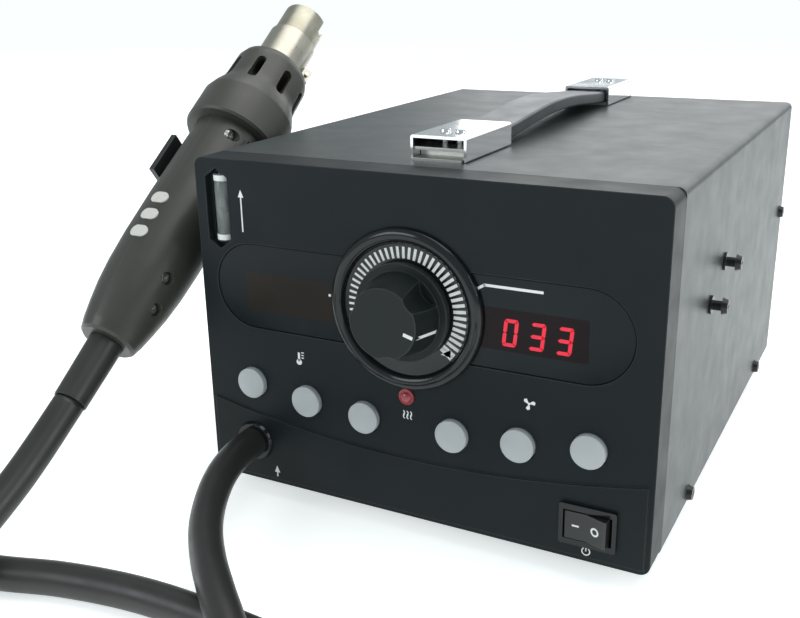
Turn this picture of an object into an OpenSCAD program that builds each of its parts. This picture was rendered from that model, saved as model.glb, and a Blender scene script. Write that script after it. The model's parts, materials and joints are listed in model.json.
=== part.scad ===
// Hot air rework station: cabinet with front controls, carry strap, side rest and hot air handpiece.
// Z is up, the bench is at z = 0 and the origin is under the middle of the whole object.

/* [Cabinet] */
// Width of the cabinet, left to right
cabinet_w = 187; // [180:1:200]
// Depth of the cabinet, front to back
cabinet_d = 245; // [235:1:260]
// Height of the cabinet without its feet
cabinet_h = 135; // [130:1:145]
// Height of the rubber feet
foot_h = 7; // [5:1:12]
// Radius of the rubber feet at the top
foot_r = 10; // [8:1:12]
// Distance of the cabinet's centre to the right of the origin
cabinet_x = 22; // [0:1:40]
// Distance of the cabinet's centre behind the origin
cabinet_y = 27; // [0:1:40]
// Sheet metal thickness of the cover
sheet = 1.2; // [1:0.1:2]
// Depth of the moulded front frame
frame_d = 15; // [12:1:20]

/* [Front controls] */
// Offset of the control group from the middle of the panel
controls_x = -1; // [-2:0.5:2]
// Height of the dial's centre
dial_z = 85; // [82:1:86]
// Outer radius of the dial plate
dial_r = 31; // [28:1:32]
// Radius of the knob
knob_r = 18.6; // [16:0.1:19]
// Length of the knob
knob_h = 16.5; // [14:0.5:20]
// Radius of a push button
button_r = 6.4; // [5:0.1:7]
// Resting angle of the power rocker
rocker_tilt = 10; // [6:1:12]

/* [Carry strap] */
// Width of the chromed end caps
cap_w = 23; // [20:1:26]
// Length of the chromed end caps
cap_l = 43; // [36:1:50]
// Height of the chromed end caps
cap_h = 9.4; // [9:0.1:11]
// Rise of the strap at its middle
strap_rise = 4; // [2:0.5:6]

/* [Handpiece] */
// Tilt of the resting handpiece above horizontal
tilt = 36.8; // [30:0.1:42]
// Length of the handpiece from its tail to the open end of the heater pipe
handpiece_l = 193.5; // [190:0.5:205]
// Radius of the grip at its fullest
grip_r = 17.8; // [17:0.1:18]
// Outer radius of the heater pipe
pipe_r = 10.6; // [10.2:0.1:10.8]
// Radius of the nozzle collar's rim
collar_r = 22.2; // [21:0.1:23]

/* [Hose] */
// Outer diameter of the air hose
hose_d = 12.4; // [11:0.2:13]

/* [Hidden] */
$fn = 48;
front_y = -cabinet_d / 2;
back_y = cabinet_d / 2;
side_x = cabinet_w / 2;
panel_t = 3;
strip_rise = 0.8;
panel_back = front_y + panel_t;
frame_back = front_y + frame_d;

// Front panel features, measured in the plane of the panel
lozenge_h = 34.5;
lozenge_w = 170;
lozenge_depth = 1.2;
ring_r = 3;
window_w = 39.5;
window_h = 15.5;
window_offsets = [-51.5, 49.3];
window_z = dial_z - 2;
button_offsets = [18.7, 44.8, 70.9];
button_z = 38.3;
button_arc = 5.5;
strip_z = 25;
strip_arc = 9.5;
lamp_z = 50.8;
lamp_r = 3;
switch_x = 71;
switch_z = 14.8;
switch_w = 21;
switch_h = 16;
rocker_w = 16.2;
rocker_h = 10.6;
gauge_x = -83.5;
gauge_z = 115;
gauge_w = 10.4;
gauge_h = 32;
tube_y = front_y + 4.6;
outlet_x = -72;
outlet_z = 18;
outlet_r = 8.6;
gland_proud = 2.5;
board_y = front_y + 10;
board_t = 1.6;

// Handle on the cover
cap_front = -97;
cap_rear = 119;
cap_wall = 1.2;
strap_w = 19.5;
strap_t = 5.4;
strap_in = 26;
cap_screws = [3.1, 13];
strap_z = cabinet_h + 1.9;

// Handpiece, measured along its own axis from the tail
grip_top = 118;
tail_pos = [-121, -152, 63];
grip_wall = 2.4;
collar_s = 111;
collar_top = 158.5;
clamp_s = 159.5;
clamp_l = 18.2;
seat_s = 178;
rest_s = 81;
rest_l = 21;
rest_gap = 0.7;
rest_t = 2.6;
rest_arm = 12.5;
sleeve_out = 28;
rest_screws = [[89, 46], [113.5, 50]];

// Route of the hose from the gland to the handpiece's sleeve, in the cabinet's frame
hose_route = [
    [-72, -125, 18], [-71, -139, 17.6], [-67.6, -153.4, 16], [-61.4, -167.8, 13.6], [-52.4, -182, 12.2],
    [-39.6, -196.8, 12], [-24.4, -211.6, 12.2], [-5, -229, 9.7], [15, -250, 3.6], [30, -285, -0.8],
    [52, -325, -0.8], [79.5, -341, -0.8], [111, -340.5, -0.8], [137.5, -323.5, -0.8],
    [151.5, -295, -0.8], [150, -263.5, -0.8], [134, -236.5, -0.8], [108, -218.5, -0.8],
    [77.5, -212.5, -0.8], [46, -213, -0.8], [14, -212.5, -0.8], [-25, -209.5, -0.8], [-60, -209.5, -0.8],
    [-91, -214.5, -0.8], [-120, -223, -0.8], [-149.5, -225.5, -0.8], [-178.5, -229, -0.8],
    [-204.5, -243, -0.8], [-221.5, -267, -0.8], [-225, -296, -0.8], [-214, -323.5, -0.8],
    [-190, -340.5, -0.8], [-160.5, -341.5, -0.8], [-135.5, -326.5, -0.8], [-122, -300.5, -0.6],
    [-121, -272, 1.5], [-121, -238, 10.6], [-121, -205, 26]
];
hose_gap = 0.3;
hose_steps = 2;
hose_sides = 10;

// ---- Frames of reference ----

// Cabinet frame: its origin is at the bottom centre of the cabinet, above the feet.
module cabinet() {
    translate([cabinet_x, cabinet_y, foot_h]) children();
}

// Handpiece frame: z runs from the tail to the nozzle and -y is the side that faces up.
module handpiece() {
    cabinet() translate(tail_pos) rotate([tilt - 90, 0, 0]) children();
}

// Panel frame: a child's xy outline stands in the panel's plane and its z points at the user.
module on_panel(x, z, y) {
    cabinet() translate([x, y, z]) rotate([90, 0, 0]) children();
}

// ---- Shared shapes ----

module rounded_rect(w, h, r) {
    square([w - 2 * r, h], center = true);
    square([w, h - 2 * r], center = true);
    for (sx = [-1, 1]) {
        for (sy = [-1, 1]) {
            translate([sx * (w / 2 - r), sy * (h / 2 - r)]) circle(r = r);
        }
    }
}

module box(size) {
    translate([-size[0] / 2, -size[1] / 2, 0]) cube(size);
}

module ring(outer, inner, h) {
    difference() {
        cylinder(r = outer, h = h);
        translate([0, 0, -1]) cylinder(r = inner, h = h + 2);
    }
}

// Pan-head screw with its head's underside at z = 0 and its shank going down.
module pan_screw(head_r, head_h, shank_r, shank_l) {
    difference() {
        union() {
            cylinder(r1 = head_r, r2 = head_r * 0.8, h = head_h);
            translate([0, 0, -shank_l]) cylinder(r = shank_r, h = shank_l + 0.01);
        }
        translate([0, 0, head_h]) {
            cube([head_r * 1.1, head_h * 0.28, head_h], center = true);
            cube([head_h * 0.28, head_r * 1.1, head_h], center = true);
        }
    }
}

// Side of the cabinet: a child's z points out of the right side for side = 1, the left for -1.
module on_side(side, y, z) {
    cabinet() translate([side * side_x, y, z]) rotate([0, side * 90, 0]) children();
}

function arc_z(x, base, rise) = base + rise * pow(x / 71, 2);

// ---- Front panel and its controls ----

module step_outline() {
    polygon(concat(
        [for (i = [-10:10]) [i * (side_x - 2) / 10, arc_z(i * (side_x - 2) / 10, strip_z, strip_arc * 0.6)]],
        [[side_x - 2, 2], [2 - side_x, 2]]
    ));
}

module hexagon_outline(w, h) {
    tip = w * 0.34;
    polygon([[0, h / 2], [w / 2, h / 2 - tip], [w / 2, tip - h / 2], [0, -h / 2], [-w / 2, tip - h / 2],
        [-w / 2, h / 2 - tip]]);
}

module lozenge_outline(margin) {
    rounded_rect(lozenge_w - 2 * margin, lozenge_h - 2 * margin, lozenge_h / 2 - margin - 0.01);
}

module front_panel() color("#1c2226") difference() {
    union() {
        on_panel(0, cabinet_h / 2, frame_back) linear_extrude(frame_d)
            rounded_rect(cabinet_w, cabinet_h, 4);
        on_panel(0, cabinet_h / 2, frame_back + 5) linear_extrude(6)
            rounded_rect(cabinet_w - 3, cabinet_h - 3, 2.5);
        on_panel(0, 0, front_y) linear_extrude(strip_rise) step_outline();
    }
    on_panel(0, cabinet_h / 2, frame_back + 6) linear_extrude(frame_d + 6 - panel_t)
        rounded_rect(cabinet_w - 6, cabinet_h - 6, 2);
    on_panel(controls_x, dial_z, front_y + lozenge_depth) linear_extrude(5) lozenge_outline(0);
    on_panel(controls_x, dial_z, front_y + lozenge_depth) cylinder(r = dial_r - 0.9, h = 5);
    for (offset = window_offsets) {
        on_panel(controls_x + offset, window_z, panel_back + 1) linear_extrude(5)
            square([window_w, window_h], center = true);
    }
    on_panel(controls_x, dial_z, panel_back + 1) cylinder(r = 3.7, h = 5);
    on_panel(controls_x, lamp_z, panel_back + 1) cylinder(r = lamp_r + 0.1, h = 5);
    on_panel(gauge_x, gauge_z, panel_back + 1) linear_extrude(5) hexagon_outline(gauge_w, gauge_h);
    on_panel(outlet_x, outlet_z, panel_back + 1) cylinder(r = 7.4, h = 6);
    on_panel(switch_x, switch_z, panel_back + 1) linear_extrude(6)
        square([switch_w - 1.6, switch_h - 1.6], center = true);
    for (side = [-1, 1]) {
        for (x = button_offsets) {
            on_panel(controls_x + side * x, arc_z(x, button_z, button_arc), panel_back + 1)
                cylinder(r = button_r + 0.35, h = 5);
        }
    }
}

module display_lens() color("#15181a") difference() {
    on_panel(controls_x, dial_z, front_y + lozenge_depth) linear_extrude(0.8) lozenge_outline(0.2);
    on_panel(controls_x, dial_z, front_y + 3) cylinder(r = dial_r - 0.8, h = 5);
}

module display_module(offset) {
    on_panel(controls_x + offset, window_z, board_y) difference() {
        linear_extrude(board_y - front_y - lozenge_depth - 0.2)
            square([window_w - 1, window_h - 1], center = true);
        for (i = [-1:1]) {
            translate([i * 9.7 + 1.2, 0, board_y - front_y - lozenge_depth - 0.5]) linear_extrude(1) difference() {
                square([7.4, 12], center = true);
                square([5, 9.6], center = true);
            }
        }
    }
}

module temperature_display() color("#241d1a") display_module(window_offsets[0]);
module air_display() color("#301014") display_module(window_offsets[1]);

// Scale plate with the raised glossy ring round the knob.
module dial_plate() color("#121416") {
    base = 0.6 + lozenge_depth;
    on_panel(controls_x, dial_z, front_y + lozenge_depth) difference() {
        union() {
            cylinder(r = dial_r - 1, h = base);
            translate([0, 0, base - 0.6]) rotate_extrude() {
                translate([dial_r - ring_r, 0]) intersection() {
                    circle(r = ring_r);
                    translate([-ring_r, 0]) square([2 * ring_r, ring_r]);
                }
            }
        }
        translate([0, 0, -1]) cylinder(r = 3.7, h = 9);
    }
}

module potentiometer() color("#8a8f92") on_panel(controls_x, dial_z, 0) {
    can = board_y - 0.3;
    difference() {
        union() {
            translate([0, 0, -can]) cylinder(r = 8, h = can - panel_back - 0.2);
            translate([0, 0, -panel_back - 0.3]) cylinder(r = 3.5, h = 6.9);
            translate([0, 0, -front_y + 0.7]) cylinder(r = 5.4, h = 2, $fn = 6);
        }
        translate([0, 0, -can + 1.5]) cylinder(r = 3.06, h = 30);
    }
}

module pot_shaft() color("#c8c9c8") on_panel(controls_x, dial_z, 0) {
    translate([0, 0, -board_y + 2.2]) cylinder(r = 3, h = board_y - front_y + 11);
}

// Tapered grip knob with three lobes on a round skirt, hollow underneath round the shaft's nut.
module knob() color("#17191a") on_panel(controls_x, dial_z, front_y) {
    base = 1.4;
    grip = knob_r - 2.8;
    difference() {
        union() {
            translate([0, 0, base]) cylinder(r = knob_r, h = 3);
            translate([0, 0, base + 2.9]) cylinder(r1 = grip, r2 = grip - 2.6, h = knob_h - 2.9);
        }
        for (a = [38:120:278]) {
            rotate(a) translate([grip + 3.5, 0, base + 3.1]) cylinder(r = 7.1, h = knob_h);
        }
        translate([0, 0, base - 1]) cylinder(r = 6.4, h = 3.7);
        translate([0, 0, base - 1]) cylinder(r = knob_r - 3, h = 1.6);
        translate([0, 0, base]) cylinder(r = 3.03, h = 12);
    }
}

module button(side, index) {
    x = button_offsets[index];
    on_panel(controls_x + side * x, arc_z(x, button_z, button_arc), front_y) {
        translate([0, 0, -panel_t - 1.4]) cylinder(r = button_r + 1, h = 1);
        translate([0, 0, -panel_t - 2]) cylinder(r = 2, h = 1);
        translate([0, 0, -panel_t - 0.5]) cylinder(r = button_r, h = panel_t + 2.3);
        intersection() {
            translate([0, 0, 1.79]) cylinder(r = button_r, h = 3);
            translate([0, 0, 3 - 18]) sphere(r = 18, $fn = 64);
        }
    }
}

module temp_button_1() color("#b9bcbd") button(-1, 2);
module temp_button_2() color("#b9bcbd") button(-1, 1);
module temp_button_3() color("#b9bcbd") button(-1, 0);
module air_button_1() color("#b9bcbd") button(1, 0);
module air_button_2() color("#b9bcbd") button(1, 1);
module air_button_3() color("#b9bcbd") button(1, 2);

module button_switches() color("#3a3a3c") {
    for (side = [-1, 1]) {
        for (x = button_offsets) {
            on_panel(controls_x + side * x, arc_z(x, button_z, button_arc), board_y) {
                linear_extrude(2.8) square(6, center = true);
                cylinder(r = 1.7, h = 3.5);
            }
        }
    }
}

module heater_lamp() color("#7a3036") on_panel(controls_x, lamp_z, front_y) {
    translate([0, 0, -panel_t - 6.7]) cylinder(r = lamp_r, h = panel_t + 6.8);
    cylinder(r = lamp_r + 0.15, h = 0.8);
    intersection() {
        translate([0, 0, 0.8]) cylinder(r = 2.1, h = 3);
        sphere(r = 2.3);
    }
}

// ---- Power switch, pivoting about an upright axis ----

module power_switch_body() color("#101213") on_panel(switch_x, switch_z, front_y - strip_rise) difference() {
    union() {
        linear_extrude(1.4) rounded_rect(switch_w, switch_h, 1);
        translate([0, 0, -17]) linear_extrude(17.1)
            square([switch_w - 2, switch_h - 2], center = true);
    }
    translate([0, 0, -7.5]) linear_extrude(12) square([rocker_w + 1.6, rocker_h + 0.8], center = true);
    rotate([90, 0, 0]) cylinder(r = 1.06, h = rocker_h + 2.6, center = true);
}

module power_rocker() color("#161819") on_panel(switch_x, switch_z, front_y - strip_rise)
    rotate([0, -rocker_tilt, 0]) {
        half = rocker_w / 2;
        rotate([90, 0, 0]) linear_extrude(rocker_h, center = true)
            polygon([[-half, -2.5], [-half, 2.6], [-half + 0.6, 3], [0, 1.7], [half - 0.6, 3],
                [half, 2.6], [half, -2.5], [0, -5]]);
        rotate([90, 0, 0]) cylinder(r = 1, h = rocker_h + 2.2, center = true);
    }

// ---- Air flow gauge ----

module gauge_body() color("#171b1c") difference() {
    on_panel(gauge_x, gauge_z, front_y + 14) linear_extrude(14 - panel_t - 0.1)
        rounded_rect(gauge_w + 2.8, gauge_h + 1, 1.5);
    on_panel(gauge_x, gauge_z, tube_y) linear_extrude(8) square([7.8, gauge_h - 5], center = true);
    cabinet() translate([gauge_x, tube_y, gauge_z - gauge_h / 2 + 2.5]) cylinder(r = 3.9, h = gauge_h - 5);
}

module gauge_tube() color("#9fb0a8") cabinet() translate([gauge_x, tube_y, gauge_z - gauge_h / 2 + 2.6])
    ring(3.6, 2.8, gauge_h - 5.2);

module gauge_float() color("#2a2c2d") cabinet() translate([gauge_x, tube_y, gauge_z]) {
    translate([0, 0, -0.01]) cylinder(r1 = 2.45, r2 = 0.8, h = 3);
    translate([0, 0, -2]) cylinder(r1 = 1.2, r2 = 2.45, h = 2);
}

// ---- Hose gland and inner air tube ----

module hose_gland() color("#151617") on_panel(outlet_x, outlet_z, front_y - strip_rise) difference() {
    union() {
        cylinder(r1 = outlet_r, r2 = outlet_r - 0.8, h = gland_proud - 0.8);
        translate([0, 0, -panel_t - strip_rise - 0.1]) cylinder(r = 7.2, h = panel_t + 1);
        translate([0, 0, -panel_t - strip_rise - 4.2]) cylinder(r = 9.5, h = 4.1, $fn = 6);
        translate([0, 0, -panel_t - strip_rise - 12]) cylinder(r = 5, h = 9);
    }
    translate([0, 0, -30]) cylinder(r = 3.2, h = 40);
}

// A straight piece of tube between two points.
module tube_leg(a, b, r) {
    v = b - a;
    translate(a) rotate([0, acos(v[2] / norm(v)), atan2(v[1], v[0])]) cylinder(r = r, h = norm(v));
}

module air_tube() color("#b8b4a6") cabinet() {
    start = [-42, -31.8, 40];
    stop = [outlet_x, front_y + 15.4, outlet_z];
    way = [start, [-42, -60, 40], [outlet_x, -78, 24], [outlet_x, -90, outlet_z], stop];
    last = len(way) - 2;
    overlap = 2.5;
    for (i = [0:last]) {
        step = unit(way[i + 1] - way[i]) * overlap;
        tube_leg(way[i] - (i > 0 ? step : 0 * step), way[i + 1] + (i < last ? step : 0 * step), 4 - 0.15 * i);
    }
}

// ---- Boards, transformer and pump ----

module display_board() color("#2f5a3c") difference() {
    on_panel(0, 70, board_y + board_t) linear_extrude(board_t) square([151, 92], center = true);
    on_panel(controls_x, dial_z, board_y + 3) cylinder(r = 3.4, h = 4);
}

module main_board() color("#33603f") cabinet() {
    translate([46, -48, 12]) box([82, 88, board_t]);
    for (sx = [-1, 1]) {
        for (sy = [-1, 1]) {
            translate([46 + sx * 36, -48 + sy * 39, 1.6]) cylinder(r = 2.6, h = 10.4);
        }
    }
    translate([30, -26, 13.6]) box([26, 18, 22]);
    translate([66, -60, 13.6]) cylinder(r = 8, h = 26);
    translate([42, -76, 13.6]) box([34, 10, 14]);
}

module transformer_core() color("#6b6f73") cabinet() translate([41, 58, 0]) difference() {
    union() {
        translate([0, 0, 3.2]) box([76, 32, 64]);
        translate([0, 0, 1.6]) box([96, 32, 1.6]);
    }
    for (sx = [-1, 1]) {
        translate([sx * 19, -17, 16]) translate([-6.5, 0, 0]) cube([13, 34, 38]);
        translate([sx * 43, 0, 0]) cylinder(r = 2.2, h = 5);
    }
}

module transformer_winding() color("#8b3f2a") cabinet() translate([41, 58, 0]) difference() {
    translate([0, 0, 16.5]) box([49, 56, 37]);
    translate([0, 0, 15]) box([25.4, 32.4, 40]);
    translate([0, 0, 10]) box([25.4, 32.4, 60]);
    for (sx = [-1, 1]) {
        translate([sx * 31.9, 0, 15]) box([13, 32.6, 42]);
    }
}

pump_pos = [-42, 14, 14];
pump_size = [62, 84, 56];

module pump_body() color("#7d8386") cabinet() translate(pump_pos) difference() {
    union() {
        box(pump_size);
        translate([0, -pump_size[1] / 2 - 3.5, 26]) rotate([-90, 0, 0]) cylinder(r = 3.5, h = 5);
    }
    translate([0, 0, 9]) box([44, 66, 34]);
    translate([0, 0, 40]) box([44, 50, 20]);
}

module pump_armature() color("#4b4f52") cabinet() translate(pump_pos) {
    translate([0, 0, 22]) box([34, 6, 8]);
    translate([0, 0, 14]) box([8, 40, 6]);
    translate([0, 0, 19.9]) box([8, 6, 3]);
}

module pump_mounts() color("#1b1b1c") cabinet() {
    for (sx = [-1, 1]) {
        for (sy = [-1, 1]) {
            translate([pump_pos[0] + sx * 23, pump_pos[1] + sy * 34, 1.6]) {
                cylinder(r = 7, h = 4);
                cylinder(r = 5, h = 12.3);
                translate([0, 0, 8.4]) cylinder(r = 7, h = 3.9);
            }
        }
    }
}

// ---- Sheet metal ----

module side_hole(side, y, z, r) {
    on_side(side, y, z) translate([0, 0, -8]) cylinder(r = r, h = 12);
}

cover_screw_spots = [[114, 80], [80, 6], [-67, 6]];
rear_screw_z = [6, 125];
foot_spots = [81.5, 100];

module chassis() color("#3c4144") difference() {
    cabinet() {
        translate([0, 6.6, 0]) box([cabinet_w - 2 * sheet - 0.8, 227.8, 1.5]);
        translate([0, back_y - 2.8, 0]) box([cabinet_w - 14, 1.5, 11]);
        for (side = [-1, 1]) {
            translate([side * (side_x - sheet - 1.2), 9.5, 0]) box([1.5, 222, 13]);
        }
    }
    for (side = [-1, 1]) {
        for (y = [80, -67]) {
            side_hole(side, y, 6, 1.3);
        }
        for (end = [-1, 1]) {
            cabinet() translate([side * foot_spots[0], end * foot_spots[1], -1]) cylinder(r = 1.7, h = 4);
        }
        on_panel(side * 80, rear_screw_z[0], back_y) cylinder(r = 1.6, h = 6);
        for (i = [-5:5]) {
            cabinet() translate([side * 42 + i * 5, 14, -1]) linear_extrude(4) rounded_rect(2, 24, 0.99);
        }
    }
}

module top_cover() color("#2b3338") difference() {
    union() {
        on_panel(0, cabinet_h / 2, back_y - 0.05) linear_extrude(cabinet_d - frame_d - 0.15) difference() {
            rounded_rect(cabinet_w, cabinet_h, 3);
            rounded_rect(cabinet_w - 2 * sheet, cabinet_h - 2 * sheet, 1.8);
            translate([0, -cabinet_h / 2]) square([cabinet_w - 2 * sheet, 12], center = true);
        }
        for (side = [-1, 1]) {
            cabinet() translate([side * 80, back_y - 2.8, cabinet_h - 16]) box([14, 1.5, 15]);
        }
    }
    for (side = [-1, 1]) {
        on_panel(side * 80, rear_screw_z[1], back_y) cylinder(r = 1.6, h = 6);
    }
    for (side = [-1, 1]) {
        for (s = cover_screw_spots) {
            side_hole(side, s[0], s[1], 1.7);
        }
        for (s = rest_screws) {
            side_hole(side, rest_screw_yz(s)[0], rest_screw_yz(s)[1], 2.1);
        }
    }
    for (y = [cap_front + cap_screws[1], cap_rear - cap_screws[1]]) {
        for (sx = [-1, 1]) {
            cabinet() translate([sx * cap_screws[0], y, cabinet_h - 3]) cylinder(r = 1.7, h = 5);
        }
    }
}

module rear_panel() color("#2b3338") difference() {
    cabinet() {
        translate([0, back_y - 1.15, 0.2]) box([cabinet_w - 2 * sheet - 0.8, 1.5, cabinet_h - sheet - 0.6]);
        for (side = [-1, 1]) {
            translate([side * (side_x - sheet - 1.2), back_y - 8.3, 16]) box([1.5, 14, 100]);
        }
    }
    for (side = [-1, 1]) {
        side_hole(side, cover_screw_spots[0][0], cover_screw_spots[0][1], 1.3);
        for (z = rear_screw_z) {
            on_panel(side * 80, z, back_y + 1) cylinder(r = 1.7, h = 6);
        }
    }
    on_panel(48, 28, back_y + 1) linear_extrude(6) square([27.6, 32.6], center = true);
    for (row = [0:3]) {
        for (i = [-8:8]) {
            on_panel(-28 + i * 6, 62 + row * 15, back_y + 1) linear_extrude(6) rounded_rect(2.4, 11, 1.19);
        }
    }
}

module cover_screws() color("#1a1a1b") {
    for (side = [-1, 1]) {
        for (s = cover_screw_spots) {
            on_side(side, s[0], s[1]) pan_screw(3.2, 2.2, 1.25, 6);
        }
    }
}

module rear_screws() color("#1a1a1b") cabinet() {
    for (side = [-1, 1]) {
        for (z = rear_screw_z) {
            translate([side * 80, back_y - 0.4, z]) rotate([-90, 0, 0]) pan_screw(3.2, 2.2, 1.5, 6);
        }
    }
}

module foot(sx, sy) {
    cabinet() translate([sx * foot_spots[0], sy * foot_spots[1], -foot_h]) difference() {
        cylinder(r1 = foot_r - 1.4, r2 = foot_r, h = foot_h);
        translate([0, 0, -1]) cylinder(r = 4.2, h = foot_h - 1.5);
        translate([0, 0, -1]) cylinder(r = 1.8, h = foot_h + 2);
    }
}

module foot_front_left() color("#202122") foot(-1, -1);
module foot_front_right() color("#202122") foot(1, -1);
module foot_rear_left() color("#202122") foot(-1, 1);
module foot_rear_right() color("#202122") foot(1, 1);

module foot_screws() color("#9a9c9d") cabinet() {
    for (sx = [-1, 1]) {
        for (sy = [-1, 1]) {
            translate([sx * foot_spots[0], sy * foot_spots[1], 4.5 - foot_h]) mirror([0, 0, 1])
                pan_screw(3.4, 2, 1.6, 8);
        }
    }
}

// ---- Mains inlet with its fuse drawer, on the rear panel ----

module in_inlet() {
    cabinet() translate([48, back_y - 0.4, 28]) rotate([-90, 0, 0]) mirror([0, 1, 0]) children();
}

module mains_inlet() color("#141516") in_inlet() {
    difference() {
        union() {
            linear_extrude(2) rounded_rect(32, 38, 3);
            translate([0, 0, -22]) linear_extrude(22.1) square([27, 32], center = true);
        }
        translate([0, 4.5, -15]) linear_extrude(30) square([24, 16.2], center = true);
        translate([0, -10.6, -17]) linear_extrude(30) square([22.6, 8.2], center = true);
    }
    for (p = [[-7, 2.6], [0, 6.6], [7, 2.6]]) {
        translate([p[0], p[1], -15.1]) linear_extrude(14) square([2, 4], center = true);
    }
}

module fuse_drawer() color("#1d1e20") in_inlet() translate([0, -10.6, 0]) difference() {
    union() {
        translate([0, 0, -14.5]) linear_extrude(15) square([22, 7.4], center = true);
        translate([0, 0, 0.45]) linear_extrude(1.2) rounded_rect(22, 7.4, 0.8);
    }
    translate([0, 1, -13]) linear_extrude(11) square([19.6, 6.4], center = true);
    translate([0, 1.5, 1]) linear_extrude(2) square([8, 2], center = true);
}

// ---- Carry strap on the cover ----

module handle_cap(y, flip) {
    cabinet() translate([0, y, cabinet_h]) rotate(flip) difference() {
        translate([0, 0, cap_h / 2]) rotate([-90, 0, 0]) linear_extrude(cap_l) rounded_rect(cap_w, cap_h, 1);
        translate([0, -1, (cap_h - cap_wall) / 2 - 0.5]) rotate([-90, 0, 0]) linear_extrude(cap_l + 2)
            square([cap_w - 2 * cap_wall, cap_h - cap_wall + 1], center = true);
        for (sx = [-1, 1]) {
            translate([sx * cap_screws[0], cap_screws[1], 0]) cylinder(r = 1.7, h = 20);
        }
    }
}

module handle_cap_front() color("#c9ced3") handle_cap(cap_front, 0);
module handle_cap_rear() color("#c9ced3") handle_cap(cap_rear, 180);

// Steel strips under the caps, each with a raised tongue below the strap's end.
module handle_brackets() color("#b4b9be") cabinet() {
    for (end = [[cap_front, 0], [cap_rear, 180]]) {
        translate([0, end[0], cabinet_h]) rotate(end[1]) difference() {
            union() {
                translate([0, cap_l / 2 - 1.5, 0]) box([cap_w - 2 * cap_wall - 0.4, cap_l, 1.2]);
                translate([0, 28.5, 0]) box([cap_w - 2 * cap_wall - 0.8, 25, 1.6]);
                translate([0, 11, 0]) box([cap_w - 2 * cap_wall - 0.4, 10, 5]);
                translate([0, 8.4, 3.8]) box([cap_w - 2 * cap_wall - 0.4, 15.2, 1.2]);
            }
            for (sx = [-1, 1]) {
                translate([sx * cap_screws[0], cap_screws[1], -1]) cylinder(r = 1.7, h = 20);
            }
        }
    }
}

module handle_screws() color("#d2d5d8") cabinet() {
    for (y = [cap_front + cap_screws[1], cap_rear - cap_screws[1]]) {
        for (sx = [-1, 1]) {
            translate([sx * cap_screws[0], y, cabinet_h + cap_h]) pan_screw(2.3, 1, 1.5, 14);
        }
    }
}

strap_from = cap_front + cap_l - strap_in;
strap_to = cap_rear - cap_l + strap_in;
strap_free = strap_to - strap_from - 2 * strap_in;
strap_steps = 28;

function strap_share(y) = min(max((y - strap_from - strap_in) / strap_free, 0), 1);
function strap_curve(y) = strap_rise * pow(sin(180 * strap_share(y)), 1.4);

module carry_strap() color("#1e2124") cabinet() translate([-strap_w / 2, 0, strap_z])
    rotate([90, 0, 90]) linear_extrude(strap_w) polygon(concat(
        [for (i = [0:strap_steps]) let (y = strap_from + (strap_to - strap_from) * i / strap_steps)
            [y, strap_curve(y)]],
        [for (i = [strap_steps:-1:0]) let (y = strap_from + (strap_to - strap_from) * i / strap_steps)
            [y, strap_curve(y) + strap_t]]
    ));

// ---- Rest for the handpiece, on the left side ----

// Place of a rest screw on the cabinet's side, from its place along and below the handpiece.
function rest_screw_yz(s) = [tail_pos[1] + s[0] * cos(tilt) + s[1] * sin(tilt),
    tail_pos[2] + s[0] * sin(tilt) - s[1] * cos(tilt)];

module handpiece_rest() color("#16181a") {
    inner = grip_r + rest_gap;
    outer = inner + rest_t;
    wall_x = -side_x - tail_pos[0];
    difference() {
        handpiece() {
            translate([0, 0, rest_s]) linear_extrude(rest_l) difference() {
                union() {
                    circle(r = outer);
                    translate([-outer, -rest_arm]) square([2 * outer, rest_arm]);
                }
                circle(r = inner);
                translate([-inner, -30]) square([2 * inner, 30]);
            }
            translate([wall_x - 3, 4, rest_s]) cube([3, 53, 40]);
            translate([outer - 1.3, -rest_arm + 2, rest_s]) cube([wall_x - outer, 18, rest_l]);
        }
        for (s = rest_screws) {
            side_hole(-1, rest_screw_yz(s)[0], rest_screw_yz(s)[1], 2.1);
        }
    }
}

module rest_screws_and_spares() color("#1a1a1b") {
    for (s = rest_screws) {
        on_side(-1, rest_screw_yz(s)[0], rest_screw_yz(s)[1]) translate([0, 0, 3]) pan_screw(4, 2.8, 1.9, 9);
        on_side(1, rest_screw_yz(s)[0], rest_screw_yz(s)[1]) {
            cylinder(r = 3.6, h = 1);
            translate([0, 0, 4.6]) pan_screw(3.3, 2.2, 1.9, 10);
        }
    }
}

// ---- Handpiece ----

// Radius of the grip along its length, as [position, radius] pairs.
grip_profile = [[0, 10.6], [1, 11.8], [5, 13], [12, 14.4], [21, 15.9], [32, 17], [46, 17.6], [69, grip_r],
    [90, 17.5], [105, 17.3], [grip_top, 17.3]];

module grip_solid(inset) {
    rotate_extrude() polygon(concat(
        [for (p = grip_profile) [p[1] - inset, p[0]]],
        [[0, grip_top], [0, 0]]
    ));
}

module inlay_slots(depth) {
    for (s = [44, 53, 62]) {
        translate([0, -grip_r - 1, s]) rotate([-90, 0, 0]) linear_extrude(1 + depth)
            rounded_rect(8.4, 5.4, 2.69);
    }
}

// Screws of the grip: place along it, height across it, and depth of the head from the joint of the halves.
grip_screw_spots = [[18, -1.4, 12.2], [31, -5.3, 13], [104, -12.7, 9.2]];

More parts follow.
